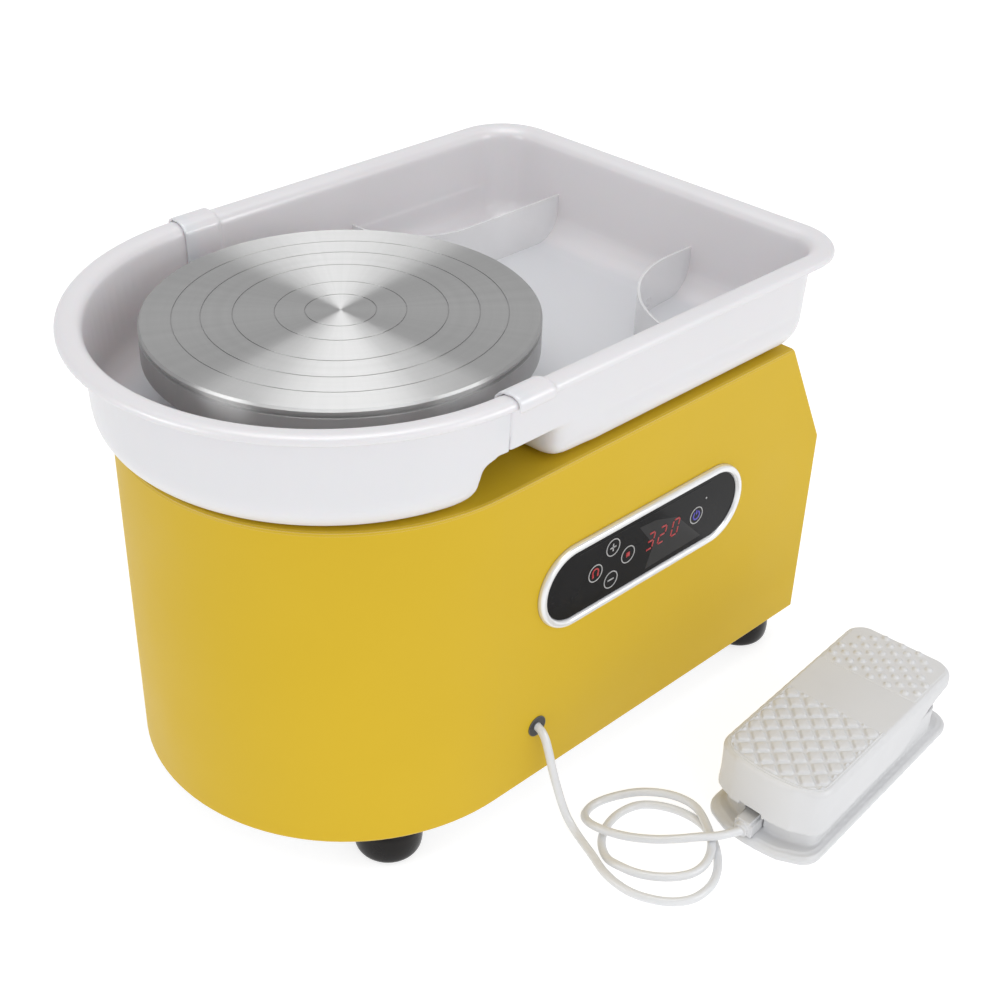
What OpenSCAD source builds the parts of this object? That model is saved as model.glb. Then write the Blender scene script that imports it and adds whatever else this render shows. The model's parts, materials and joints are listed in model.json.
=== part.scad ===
// Tabletop pottery wheel with a split splash basin, touch control panel and wired foot pedal.
// Millimetres, +Z up, spindle axis vertical, round front of the machine towards -Y.

/* [Wheel head] */
// Diameter of the aluminium wheel head
head_diameter = 280; // [250:5:290]
// Overall thickness of the wheel head at its rim
head_thickness = 26; // [24:1:27]
// Width of the turned centring rings on the head
ring_width = 0.8; // [0.5:0.1:1.2]

/* [Housing] */
// Width of the sheet housing, side to side
housing_width = 330; // [326:1:334]
// Sheet thickness of the housing
sheet = 2.5; // [2:0.5:3]
// Height of the flat deck above the floor
deck_height = 301.7; // [301:0.1:301.7]

/* [Basin] */
// Wall thickness of the two basin halves
basin_wall = 3; // [2.5:0.5:3]
// Height of the loose dividers above the basin floor
divider_height = 39; // [30:1:45]

/* [Feet] */
// Largest diameter of each rubber foot
foot_diameter = 50; // [44:2:52]

/* [Pedal] */
// Height of the treadle top above the floor
treadle_height = 68.5; // [66:0.5:70]
// Height of the raised grip pattern
grip_height = 1.6; // [1:0.2:2]

/* [Cord] */
// Diameter of the pedal cord
cord_diameter = 6.5; // [5.5:0.5:6.5]

/* [Hidden] */
$fn = 96;
head_top = 377;
hr = head_diameter / 2;
head_low = head_top - head_thickness;
hw = housing_width / 2;
base_z = 32;
rear_y = 362;
bev_y = 311;
bev_z = 205;
ring_radii = [25, 46, 75, 97, 117];

bw = basin_wall;
tray_low = 302;
tray_xf = 143;
fillet = 27;
draft = 2.4;
front_cy = -8;
corner_x = 140;
corner_y = 296;
seam_y = -2;
wall_top = 379;
notch_r = 36;

belt_z = 86;
motor_y = 215;
big_r = 60;
small_r = 20;

pedal_x = 294;
pedal_y = 248;
pedal_turn = 5;
pin_v = -60;
pin_z = 25;

// Route of the pedal cord, hole in the housing to strain relief on the pedal
cord_route = [
  [150, 42.7, 80.2], [165, 42.7, 80.2], [173, 42.5, 76], [178.5, 42, 66], [184, 42, 50],
  [191, 43, 30], [199, 43.5, 14], [211, 42.5, 5], [232, 36.5, 3.4], [254, 29.5, 3.4],
  [277, 30, 3.4], [298, 41, 3.4], [310, 57, 3.4], [311.5, 76, 3.4], [305, 93, 3.4],
  [292, 108, 3.4], [275, 119, 3.4], [257, 121, 3.4], [238, 115, 3.4], [223, 102, 3.4],
  [218, 84, 3.4], [221, 65, 3.4], [230, 50, 3.6], [243, 41, 5], [257, 38, 9.5],
  [273, 43, 10], [288, 55, 10], [298, 71, 10.2], [298, 88, 10.2], [289, 105, 10.2],
  [273, 118, 10.2], [255, 126, 10.2], [236, 122, 10.2], [218, 109, 9], [205, 93, 5.5],
  [199, 76, 4], [202, 62, 5], [212, 54, 9.5], [226, 54, 12], [243, 61, 13],
  [259, 72, 14.5], [272, 84, 16.5], [282, 97, 17.2], [291, 110, 16.6], [297.7, 125.9, 16],
  [298.6, 132, 16]];

// ---------------------------------------------------------------- helpers
module at_origin() { translate([-79, -84, 0]) children(); }
module at_pedal() { translate([pedal_x, pedal_y, 0]) rotate([0, 0, pedal_turn]) children(); }

function arc(cx, cz, r, a0, a1, n) =
  [for (i = [0:n]) let (a = a0 + (a1 - a0) * i / n) [cx + r * cos(a), cz + r * sin(a)]];
function full(p) = concat(p, [for (i = [len(p) - 2:-1:1]) [-p[i][0], p[i][1]]]);

// D-shaped solid: half a turn of the section at the front, then straight back to y1
module d_solid(p, yc, y1) {
  translate([0, yc, 0]) rotate([0, 0, 180]) rotate_extrude(angle = 180) polygon(p);
  translate([0, y1, 0]) rotate([90, 0, 0]) linear_extrude(height = y1 - yc) polygon(full(p));
}
// Side-view outline in (y, z) pushed across the whole width
module side_prism(p, w = 220) {
  translate([-w, 0, 0]) rotate([90, 0, 90]) linear_extrude(height = 2 * w) polygon(p);
}
// Cylinder along X
module xcyl(r, x0, x1, y, z) { translate([x0, y, z]) rotate([0, 90, 0]) cylinder(r = r, h = x1 - x0); }
// Cylinder along Y
module ycyl(r, y0, y1, x, z) { translate([x, y0, z]) rotate([-90, 0, 0]) cylinder(r = r, h = y1 - y0); }
// Rounded-end slab lying in the side wall, long axis along Y
module stadium(x0, x1, r, y0, y1, z) {
  xcyl(r, x0, x1, y0 + r, z);
  xcyl(r, x0, x1, y1 - r, z);
  translate([x0, y0 + r, z - r]) cube([x1 - x0, y1 - y0 - 2 * r, 2 * r]);
}

function unit(v) = v / norm(v);
// Round tube of radius r and n sides along a list of points
module sweep(pts, r, n) {
  last = len(pts) - 1;
  v = [for (k = [0:last]) let (
      t = unit(pts[min(k + 1, last)] - pts[max(k - 1, 0)]),
      s = unit(cross(t, abs(t[2]) > 0.95 ? [0, 1, 0] : [0, 0, 1])), w = cross(s, t))
    for (j = [0:n - 1]) pts[k] + r * (cos(360 * j / n) * s + sin(360 * j / n) * w)];
  f = concat(
    [[for (j = [0:n - 1]) j]],
    [for (k = [0:last - 1], j = [0:n - 1]) [k * n + j, (k + 1) * n + (j + 1) % n, k * n + (j + 1) % n]],
    [for (k = [0:last - 1], j = [0:n - 1]) [k * n + j, (k + 1) * n + j, (k + 1) * n + (j + 1) % n]],
    [[for (j = [0:n - 1]) last * n + n - 1 - j]]);
  polyhedron(points = v, faces = f, convexity = 10);
}

// ---------------------------------------------------------------- housing
// Half section of the housing: half width w, bottom z0, top z1, softened top edge e
function house_pts(w, z0, z1, e) =
  [[0, z0], [w, z0], [w, z1 - e], [w - 0.3 * e, z1 - 0.3 * e], [w - e, z1], [0, z1]];
foot_xy = [[-123, -67], [123, -67], [-136, 338], [136, 338]];
base_xy = [[-150, 120], [150, 120], [-150, 260], [150, 260], [-60, -140], [60, -140]];

module housing_shell() color([0.86, 0.7, 0.2]) at_origin() difference() {
  intersection() {
    d_solid(house_pts(hw, base_z, deck_height, 2.4), 0, rear_y);
    side_prism([[-200, 0], [rear_y, 0], [rear_y, bev_z], [bev_y, deck_height], [-200, deck_height]]);
  }
  intersection() {
    d_solid(house_pts(hw - sheet, 0, deck_height - sheet, 1), 0, rear_y - sheet);
    side_prism([[-200, -5], [rear_y - sheet, -5], [rear_y - sheet, bev_z - 0.7],
      [bev_y - 1.6, deck_height - sheet], [-200, deck_height - sheet]]);
  }
  // Spindle hole, cord hole, panel window
  cylinder(r = 30.5, h = 400);
  xcyl(8, 150, 180, 42.7, 80.2);
  stadium(150, 180, 24.5, 50.5, 252, 196);
  for (a = [45:90:315]) rotate([0, 0, a]) translate([44, 0, 280]) cylinder(r = 2.7, h = 40, $fn = 24);
  // Rear wall: inlet, fuse, switch, vent slots
  translate([-38, 350, 62]) cube([28, 30, 20]);
  ycyl(6.2, 350, 380, 12, 72);
  translate([28.5, 350, 62.5]) cube([19, 30, 19]);
  for (k = [0:7]) translate([-62, 350, 112 + 9 * k]) cube([124, 30, 4]);
}

// Base plate drops into the open bottom of the shell
module base_plate() color([0.25, 0.25, 0.26]) at_origin() difference() {
  d_solid([[0, base_z], [hw - sheet - 0.3, base_z], [hw - sheet - 0.3, base_z + 2.5], [0, base_z + 2.5]],
    0, rear_y - sheet - 0.3);
  for (p = foot_xy) translate([p[0] * 0.98, p[1] * 0.98, 20]) cylinder(r = 3.3, h = 40, $fn = 24);
  for (p = base_xy) translate([p[0], p[1], 20]) cylinder(r = 2.2, h = 40, $fn = 24);
  for (k = [0:6]) translate([-40, 60 + 14 * k, 20]) cube([80, 5, 40]);
}

// Louvred insert behind the vent slots
module rear_vents() color([0.2, 0.2, 0.2]) at_origin() difference() {
  translate([-68, rear_y - sheet - 2, 106]) cube([136, 2, 78]);
  for (k = [0:7]) translate([-60, 340, 113 + 9 * k]) cube([120, 30, 2]);
}

module control_bezel() color([0.85, 0.86, 0.87]) at_origin() {
  p = [[28.2, 0], [36, 0], [36, 2], [35.2, 3.6], [33.6, 4.6], [31.6, 4.8],
    [29.6, 4.2], [28.4, 2.9], [28.2, 2]];
  for (s = [0, 1]) translate([hw, s == 0 ? 71.5 : 226, 197]) rotate([0, 90, 0])
    rotate([0, 0, s == 0 ? 180 : 0]) rotate_extrude(angle = 180) polygon(p);
  for (s = [-1, 1]) translate([hw, 71.5, 197]) rotate([0, 90, 0])
    rotate([-90, 0, 0]) linear_extrude(height = 154.5)
      polygon([for (q = p) [s * q[0], -q[1]]]);
}
module touch_panel() color([0.05, 0.05, 0.06]) at_origin() {
  stadium(hw, hw + 2.2, 28, 43.5, 254, 197);
  stadium(hw - sheet - 2, hw + 0.5, 23.5, 51.5, 251, 196);
}
module display_board() color([0.1, 0.35, 0.2]) at_origin() {
  difference() {
    translate([hw - 11, 56, 176]) cube([1.6, 190, 40]);
    for (y = [62, 240]) xcyl(1.7, hw - 20, hw, y, 196, $fn = 20);
  }
  translate([hw - 9.4, 150, 184]) cube([4.8, 44, 24]);
  for (y = [90, 110, 215]) translate([hw - 9.4, y, 190]) cube([4.8, 10, 10]);
  translate([hw - 17, 100, 182]) cube([6, 30, 8]);
}
module cord_grommet() color([0.15, 0.15, 0.16]) at_origin() difference() {
  union() {
    xcyl(7.9, hw - sheet, hw, 42.7, 80.2);
    xcyl(8.6, hw, hw + 0.8, 42.7, 80.2);
    xcyl(9.5, hw - sheet - 2, hw - sheet, 42.7, 80.2);
  }
  xcyl(cord_diameter / 2 + 0.15, 140, 180, 42.7, 80.2);
}

// ---------------------------------------------------------------- drive train
flange_top = deck_height - sheet;
// Tube that carries both bearings
module bearing_housing() color([0.6, 0.61, 0.62]) at_origin() difference() {
  translate([0, 0, 186]) cylinder(r = 30, h = 152);
  translate([0, 0, 180]) cylinder(r = 14, h = 170);
  translate([0, 0, 180]) cylinder(r = 20, h = 20);
  translate([0, 0, 322]) cylinder(r = 20, h = 20);
}
// Ribbed collar that hangs the tube from the deck
module bearing_flange() color([0.6, 0.61, 0.62]) at_origin() difference() {
  union() {
    translate([0, 0, flange_top - 7]) cylinder(r = 52, h = 7);
    translate([0, 0, 240]) cylinder(r = 34, h = flange_top - 240);
    for (a = [0:90:270]) rotate([0, 0, a]) translate([32, -3, 240]) cube([14, 6, 53]);
  }
  translate([0, 0, 180]) cylinder(r = 30, h = 170);
  for (a = [45:90:315]) rotate([0, 0, a]) translate([44, 0, 280]) cylinder(r = 2.5, h = 40, $fn = 24);
}
module spindle_bearings() color([0.75, 0.76, 0.78]) at_origin()
  for (z = [188, 322]) difference() {
    translate([0, 0, z]) cylinder(r = 20, h = 12);
    translate([0, 0, z - 1]) cylinder(r = 8.55, h = 14);
    for (g = [z - 1, z + 11]) translate([0, 0, g]) difference() {
      cylinder(r = 17, h = 2);
      translate([0, 0, -1]) cylinder(r = 12, h = 4);
    }
  }
module bearing_screws() color([0.7, 0.7, 0.72]) at_origin()
  for (a = [45:90:315]) rotate([0, 0, a]) translate([44, 0, 0]) {
    translate([0, 0, flange_top - 10]) cylinder(r = 4.4, h = 3, $fn = 32);
    translate([0, 0, flange_top - 8]) cylinder(r = 2.4, h = 9.8, $fn = 24);
  }
module motor_bracket() color([0.55, 0.56, 0.58]) at_origin() difference() {
  translate([-65, motor_y - 60, 119]) cube([130, 120, 5]);
  translate([0, motor_y, 100]) cylinder(r = 26, h = 40);
  for (x = [-57, 57], y = [-52, 52]) translate([x, motor_y + y, 100]) cylinder(r = 2.6, h = 40, $fn = 24);
}
module bracket_posts() color([0.7, 0.7, 0.72]) at_origin()
  for (x = [-57, 57], y = [-52, 52]) translate([x, motor_y + y, 0]) {
    translate([0, 0, base_z + 2.5]) cylinder(r = 6, h = 119 - base_z - 2.5, $fn = 32);
    translate([0, 0, 118]) cylinder(r = 2.5, h = 9, $fn = 24);
  }
module motor_body() color([0.3, 0.31, 0.33]) at_origin() difference() {
  translate([0, motor_y, 124]) cylinder(r = 50, h = 82);
  translate([0, motor_y, 120]) cylinder(r = 12, h = 80);
  for (a = [0:20:340]) translate([0, motor_y, 130]) rotate([0, 0, a]) translate([48, -1.5, 0]) cube([4, 3, 68]);
}
module motor_cap() color([0.2, 0.2, 0.21]) at_origin() translate([0, motor_y, 206]) {
  cylinder(r = 46, h = 12);
  cylinder(r = 20, h = 22);
}
function belt_pts(o) = let (t = asin((big_r - small_r) / motor_y)) concat(
  [for (i = [0:20]) let (a = 180 - t + (180 + 2 * t) * i / 20) [(big_r + o) * cos(a), (big_r + o) * sin(a)]],
  [for (i = [0:12]) let (a = t + (180 - 2 * t) * i / 12)
    [(small_r + o) * cos(a), motor_y + (small_r + o) * sin(a)]]);
module drive_belt() color([0.1, 0.1, 0.1]) at_origin() translate([0, 0, belt_z + 4])
  linear_extrude(height = 12) difference() {
    polygon(belt_pts(4));
    polygon(belt_pts(0.9));
  }
module controller_box() color([0.5, 0.51, 0.52]) at_origin() {
  difference() {
    translate([-146, 150, base_z + 2.5]) cube([72, 120, 44]);
    for (k = [0:7]) translate([-140 + 8 * k, 160, base_z + 40]) cube([3, 100, 20]);
  }
  translate([-74, 190, base_z + 6]) cube([6, 40, 14]);
}
module power_supply() color([0.62, 0.63, 0.65]) at_origin() difference() {
  translate([76, 150, base_z + 2.5]) cube([70, 130, 38]);
  for (x = [0:4], y = [0:8]) translate([87 + 12 * x, 162 + 13 * y, base_z + 36]) cylinder(r = 3, h = 20, $fn = 24);
}
module power_inlet() color([0.07, 0.07, 0.07]) at_origin() difference() {
  union() {
    translate([-37.7, rear_y - 22, 62.3]) cube([27.4, 22, 19.4]);
    translate([-46, rear_y, 58]) cube([44, 2, 28]);
  }
  translate([-35.5, rear_y - 14, 64]) cube([23, 30, 16]);
  for (x = [-42.5, -5.5]) ycyl(1.7, rear_y - 5, rear_y + 5, x, 72, $fn = 20);
}
module fuse_cap() color([0.07, 0.07, 0.07]) at_origin() difference() {
  union() {
    ycyl(6, rear_y - 24, rear_y, 12, 72);
    ycyl(8, rear_y, rear_y + 2, 12, 72);
  }
  translate([7, rear_y + 1, 71.3]) cube([10, 3, 1.4]);
}
module switch_frame() color([0.07, 0.07, 0.07]) at_origin() difference() {
  union() {
    translate([28.7, rear_y - 16, 62.7]) cube([18.6, 16, 18.6]);
    translate([26, rear_y, 60]) cube([24, 1.6, 24]);
  }
  translate([31, rear_y - 12, 65]) cube([14, 20, 14]);
}
module switch_rocker() color([0.12, 0.12, 0.13]) at_origin() intersection() {
  translate([31.6, rear_y - 11, 65.4]) cube([12.8, 14, 13.2]);
  union() {
    translate([0, rear_y - 4, 72]) rotate([12, 0, 0]) translate([31, -3, -6]) cube([14, 6, 12]);
    xcyl(4.2, 31.6, 44.4, rear_y - 4, 72);
  }
}
module rubber_feet() color([0.05, 0.05, 0.05]) at_origin()
  for (p = foot_xy) translate([p[0] * 0.98, p[1] * 0.98, 0]) difference() {
    rotate_extrude() polygon([[0, 0], [foot_diameter * 0.3, 0], [foot_diameter * 0.4, 1.6],
      [foot_diameter * 0.46, 5], [foot_diameter * 0.49, 9.5], [foot_diameter * 0.5, 14.5],
      [foot_diameter * 0.49, 18.5], [foot_diameter * 0.46, 22], [foot_diameter * 0.4, 24.5],
      [foot_diameter * 0.34, 26], [foot_diameter * 0.34, base_z], [0, base_z]]);
    translate([0, 0, -1]) cylinder(r = 7, h = 9, $fn = 48);
    translate([0, 0, -1]) cylinder(r = 3.2, h = 60, $fn = 24);
  }
module foot_screws() color([0.7, 0.7, 0.72]) at_origin()
  for (p = foot_xy) translate([p[0] * 0.98, p[1] * 0.98, 0]) {
    translate([0, 0, 4]) cylinder(r = 5.5, h = 4, $fn = 32);
    translate([0, 0, 7]) cylinder(r = 3, h = 34, $fn = 24);
  }
module base_screws() color([0.7, 0.7, 0.72]) at_origin()
  for (p = base_xy) translate([p[0], p[1], 0]) {
    translate([0, 0, base_z - 2.2]) cylinder(r = 4, h = 2.2, $fn = 32);
    translate([0, 0, base_z - 1]) cylinder(r = 2, h = 9, $fn = 24);
  }

// ---------------------------------------------------------------- wheel
module wheel_head() color([0.82, 0.83, 0.84]) at_origin() {
  difference() {
    rotate_extrude($fn = 180) polygon([[0, head_low + 10], [30, head_low + 10], [30, head_low + 18],
      [hr - 9, head_low + 18], [hr - 8, head_low], [hr - 1.5, head_low], [hr, head_low + 1.5],
      [hr, head_top - 6.4], [hr - 1.8, head_top - 5.8], [hr - 1.8, head_top - 3.8],
      [hr, head_top - 3.2], [hr, head_top - 1.6], [hr - 1.6, head_top], [0, head_top]]);
    for (r = ring_radii) translate([0, 0, head_top - 0.5]) difference() {
      cylinder(r = r + ring_width / 2, h = 2);
      translate([0, 0, -1]) cylinder(r = r - ring_width / 2, h = 4);
    }
    translate([0, 0, head_low - 20]) cylinder(r = 8.5, h = head_thickness + 12);
  }
  difference() {
    translate([0, 0, 340]) cylinder(r = 27, h = head_low + 12 - 340);
    translate([0, 0, 330]) cylinder(r = 8.5, h = 60);
    xcyl(3, 5, 40, 0, 345.5, $fn = 24);
  }
}
module hub_screw() color([0.3, 0.3, 0.31]) at_origin() xcyl(2.9, 8.6, 26, 0, 345.5, $fn = 24);
module spindle() color([0.75, 0.76, 0.78]) at_origin() {
  translate([0, 0, 78]) cylinder(r = 8.5, h = head_low + 12 + head_thickness - 20 - 78);
  translate([0, 0, 201]) cylinder(r = 11, h = 120);
}
module driven_pulley() color([0.55, 0.56, 0.58]) at_origin() difference() {
  union() {
    translate([0, 0, belt_z]) cylinder(r = big_r + 5, h = 3.2);
    translate([0, 0, belt_z]) cylinder(r = big_r + 0.5, h = 20);
    translate([0, 0, belt_z + 16.8]) cylinder(r = big_r + 5, h = 3.2);
    translate([0, 0, belt_z - 4]) cylinder(r = 18, h = 32);
  }
  translate([0, 0, belt_z - 10]) cylinder(r = 8.5, h = 60);
}
module motor_rotor() color([0.7, 0.7, 0.72]) at_origin() translate([0, motor_y, 0]) {
  translate([0, 0, belt_z - 3]) cylinder(r = 5, h = 40, $fn = 48);
  translate([0, 0, 122]) cylinder(r = 11.7, h = 74, $fn = 48);
}
module motor_pulley() color([0.55, 0.56, 0.58]) at_origin() translate([0, motor_y, belt_z]) difference() {
  union() {
    cylinder(r = small_r + 4.5, h = 3.2);
    cylinder(r = small_r + 0.4, h = 20);
    translate([0, 0, 16.8]) cylinder(r = small_r + 4.5, h = 3.2);
  }
  translate([0, 0, -5]) cylinder(r = 5, h = 40, $fn = 48);
}

// ---------------------------------------------------------------- splash basin
function tray_out(off) = concat([[0, tray_low]],
  [for (q = arc(tray_xf, tray_low + fillet, fillet, -90, -draft, 8)) [q[0] - off, q[1]]],
  [[172.1 - off, wall_top], [0, wall_top]]);
function tray_in(off) = concat([[0, tray_low + bw]],
  [for (q = arc(tray_xf, tray_low + fillet, fillet - bw, -90, -draft, 8)) [q[0] - off, q[1]]],
  [[172.1 - bw - off, wall_top], [172.1 - bw - off, 395], [0, 395]]);
function tray_lip(off) = [for (q = [[172.1 - bw, wall_top], [172.1, wall_top], [173.6, 382.6],
  [177, 384.8], [182, 385.2], [184.8, 384], [186.2, 381.4], [188, 381.8], [187.9, 385.4],
  [186, 387.5], [182.5, 388.3], [177, 388.1], [172.6, 386.3], [169.8, 382.8]]) [q[0] - off, q[1]]];

module notch(s) translate([0, 0, 290]) {
  cylinder(r = notch_r, h = 120);
  translate([-notch_r, s > 0 ? 0 : -70, 0]) cube([2 * notch_r, 70, 120]);
}
// Upstand round the spindle opening of each half
module upstand(s, y0, y1, z0, z1) intersection() {
  translate([-60, y0, z0]) cube([120, y1 - y0, z1 - z0]);
  translate([0, 0, 300]) union() {
    cylinder(r = notch_r + bw, h = 60);
    translate([-notch_r - bw, s > 0 ? 0 : -70, 0]) cube([2 * (notch_r + bw), 70, 60]);
  }
}
module front_basin() color([0.9, 0.9, 0.92]) at_origin() difference() {
  union() {
    difference() {
      intersection() {
        d_solid(tray_out(0), front_cy, 10);
        side_prism(concat([[-230, 290], [-34, 290]], arc(-34, 314, 12, -90, 0, 5),
          arc(-7, 325, 15, 180, 90, 6), [[seam_y - 0.3, 340], [seam_y - 0.3, 400], [-230, 400]]));
      }
      intersection() {
        d_solid(tray_in(0), front_cy, 14);
        side_prism(concat([[-230, 290], [-34, 290]], arc(-34, 314, 12 - bw, -90, 0, 5),
          arc(-7, 325, 15 + bw, 180, 90, 6), [[13, 340 + bw], [13, 400], [-230, 400]]));
      }
    }
    translate([-167, -7, 340]) cube([334, 29, bw]);
    upstand(1, -42, -22, tray_low, 347);
    upstand(1, -22, 22, 340, 347);
    translate([0, front_cy, 0]) rotate([0, 0, 180]) rotate_extrude(angle = 180) polygon(tray_lip(0));
    for (s = [-1, 1]) translate([0, seam_y - 0.3, 0]) rotate([90, 0, 0])
      linear_extrude(height = seam_y - 0.3 - front_cy) polygon([for (q = tray_lip(0)) [s * q[0], q[1]]]);
  }
  notch(1);
}

module tray_block(full_pts, loc, y0) {
  translate([0, corner_y, 0]) rotate([90, 0, 0]) linear_extrude(height = corner_y - y0) polygon(full_pts);
  translate([-corner_x, corner_y, 0]) rotate([90, 0, 90]) linear_extrude(height = 2 * corner_x) polygon(loc);
  translate([corner_x, corner_y, 0]) rotate_extrude(angle = 90) polygon(loc);
  translate([-corner_x, corner_y, 0]) rotate([0, 0, 90]) rotate_extrude(angle = 90) polygon(loc);
}
// Plan outline of the tray below its saddle, with rounded front corners
module tray_plan(r, y0) {
  for (s = [-1, 1]) translate([s * 156, 61, 280]) cylinder(r = r, h = 60);
  translate([-156, y0, 280]) cube([312, 400, 60]);
  translate([-156 - r, 61, 280]) cube([312 + 2 * r, 400, 60]);
}
module clip_cap(s) {
  o = [[190.6, 380], [190.5, 386.5], [187.5, 390], [183, 391], [176.5, 390.7], [171, 388.5],
    [167, 384], [166.3, 379], [165.2, 352]];
  c = [[167.5, 352], [168.6, 379], [169.3, 383], [172.3, 386.7], [176.9, 388.6], [182.6, 388.8],
    [186.4, 387.9], [188.4, 385.6], [188.5, 380]];
  f = [[169.6, 352], [170.6, 379], [171, 382.4], [173.3, 385.4], [177.3, 387], [182.3, 387.2],
    [185.5, 386.6], [187, 385], [187, 380.6]];
  translate([0, seam_y, 0]) rotate([90, 0, 0]) linear_extrude(height = 12)
    polygon([for (q = concat(o, c)) [s * q[0], q[1]]]);
  translate([0, 18, 0]) rotate([90, 0, 0]) linear_extrude(height = 18 - seam_y)
    polygon([for (q = concat(o, f)) [s * q[0], q[1]]]);
}
module rear_basin() color([0.9, 0.9, 0.92]) at_origin() {
  difference() {
    union() {
      intersection() {
        tray_block(full(tray_out(0)), tray_out(corner_x), 40);
        side_prism(concat([[400, 290], [59, 290]], arc(59, 314, 12, 270, 180, 5), [[47, 339], [400, 339]]));
        tray_plan(14, 47);
      }
      intersection() {
        tray_block(full(tray_out(0)), tray_out(corner_x), seam_y);
        translate([-200, -20, 336.7]) cube([400, 400, 60]);
      }
      upstand(-1, 22.5, 45, 338, 347);
    }
    intersection() {
      tray_block(full(tray_in(0)), tray_in(corner_x), 30);
      side_prism(concat([[400, 290], [59, 290]], arc(59, 314, 12 - bw, 270, 180, 5),
        [[47 + bw, 342], [400, 342]]));
      translate([0, 0, 5]) tray_plan(14 - bw, 47 + bw);
    }
    difference() {
      intersection() {
        tray_block(full(tray_in(0)), tray_in(corner_x), -20);
        translate([-200, -30, 336.7 + bw]) cube([400, 420, 70]);
      }
      upstand(-1, 22.5, 45, 330, 347);
    }
    notch(-1);
  }
  for (s = [-1, 1]) translate([0, corner_y, 0]) rotate([90, 0, 0])
    linear_extrude(height = corner_y - seam_y) polygon([for (q = tray_lip(0)) [s * q[0], q[1]]]);
  translate([-corner_x, corner_y, 0]) rotate([90, 0, 90]) linear_extrude(height = 2 * corner_x)
    polygon(tray_lip(corner_x));
  translate([corner_x, corner_y, 0]) rotate_extrude(angle = 90) polygon(tray_lip(corner_x));
  translate([-corner_x, corner_y, 0]) rotate([0, 0, 90]) rotate_extrude(angle = 90)
    polygon(tray_lip(corner_x));
  clip_cap(1);
  clip_cap(-1);
}
// Curved loose partitions standing on the tray floor
module divider(cx, cy, r, qx) intersection() {
  union() {
    intersection() {
      difference() {
        translate([cx, cy, tray_low + bw]) cylinder(r = r + 1, h = divider_height);
        translate([cx, cy, 290]) cylinder(r = r - 1, h = 100);
      }
      translate([qx > 0 ? cx - r - 5 : cx - 30, cy - r - 5, 300])
        cube([r + 35, r + 5, 60]);
    }
    translate([cx + (qx > 0 ? -r - 1 : r - 1), cy, tray_low + bw]) cube([2, 60 + 300 - cy, divider_height]);
  }
  tray_block(full(tray_in(0)), tray_in(corner_x), 60);
}
module divider_far() color([0.92, 0.92, 0.93]) at_origin() divider(-165, 215, 65, -1);
module divider_near() color([0.92, 0.92, 0.93]) at_origin() divider(150, 300, 103, 1);

// ---------------------------------------------------------------- foot pedal
// Plan outline: straight sides, rounded corners, gently bowed cord end
function bow(hw2, v0, v1, sag, rc) =
  let (R = (hw2 * hw2 + sag * sag) / (2 * sag), e = hw2 - rc)
  concat(
    [for (i = [0:5]) let (a = 180 + 70 * i / 5) [-e + rc * cos(a), v0 + sag + rc * 0.9 + rc * sin(a)]],
    [for (i = [1:9]) let (x = -e + 2 * e * i / 10) [x, v0 + R - sqrt(R * R - x * x)]],
    [for (i = [0:5]) let (a = 290 + 70 * i / 5) [e + rc * cos(a), v0 + sag + rc * 0.9 + rc * sin(a)]],
    [for (i = [0:6]) let (a = 90 * i / 6) [e + rc * cos(a), v1 - rc + rc * sin(a)]],
    [for (i = [0:6]) let (a = 90 + 90 * i / 6) [-e + rc * cos(a), v1 - rc + rc * sin(a)]]);
module slab(o, z0, z1) translate([0, 0, z0]) linear_extrude(height = z1 - z0) polygon(o);

screw_u = 30;
screw_v = [-84, 62];
module pedal_base() color([0.88, 0.88, 0.89]) at_origin() at_pedal() {
  difference() {
    union() {
      slab(bow(45, -117.5, 109.5, 8, 17), 1.5, 3);
      slab(bow(46.3, -119, 111, 8, 18), 3, 7.5);
      slab(bow(44.5, -117, 109, 8, 17), 7.5, 9);
      slab(bow(41.5, -114, 106, 8, 16), 9, 10);
    }
    for (x = [-screw_u, screw_u], v = screw_v) translate([x, v, -1]) cylinder(r = 2, h = 20, $fn = 24);
  }
  difference() {
    slab(bow(38.5, -103, 92, 7, 10), 9.5, 32);
    slab(bow(36, -100.5, 89.5, 7, 8), 9, 40);
    for (s = [-1, 1]) xcyl(4, s > 0 ? 30 : -45, s > 0 ? 45 : -30, pin_v, pin_z, $fn = 48);
    translate([-15.5, -112, 10]) cube([17, 20, 40]);
  }
  // Bosses that carry the hinge pin
  for (s = [-1, 1]) difference() {
    translate([s > 0 ? 28 : -36.5, pin_v - 8, 9.5]) cube([8.5, 16, 22.5]);
    xcyl(4, -45, 45, pin_v, pin_z, $fn = 48);
  }
}
module pedal_pads() color([0.3, 0.3, 0.3]) at_origin() at_pedal()
  for (x = [-30, 30], v = [-96, 78]) translate([x, v, 0]) cylinder(r = 8, h = 1.5, $fn = 48);
module hinge_pin() color([0.75, 0.76, 0.78]) at_origin() at_pedal() xcyl(4, -38, 38, pin_v, pin_z, $fn = 48);
coil_r = 6.4;
coil_turns = 6.5;
spring_path = concat(
  [for (k = [0:3]) [-8.4, pin_v + 30 - 9 * k, pin_z - coil_r]],
  [for (k = [0:78]) let (a = -90 - 360 * coil_turns * k / 78)
    [-8.4 + 16.9 * k / 78, pin_v + coil_r * cos(a), pin_z + coil_r * sin(a)]],
  [for (k = [1:3]) [8.5, pin_v + 5 * k, pin_z + coil_r + 0.3 * k]]);
module torsion_spring() color([0.65, 0.66, 0.68]) at_origin() at_pedal() sweep(spring_path, 1.1, 8);
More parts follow.
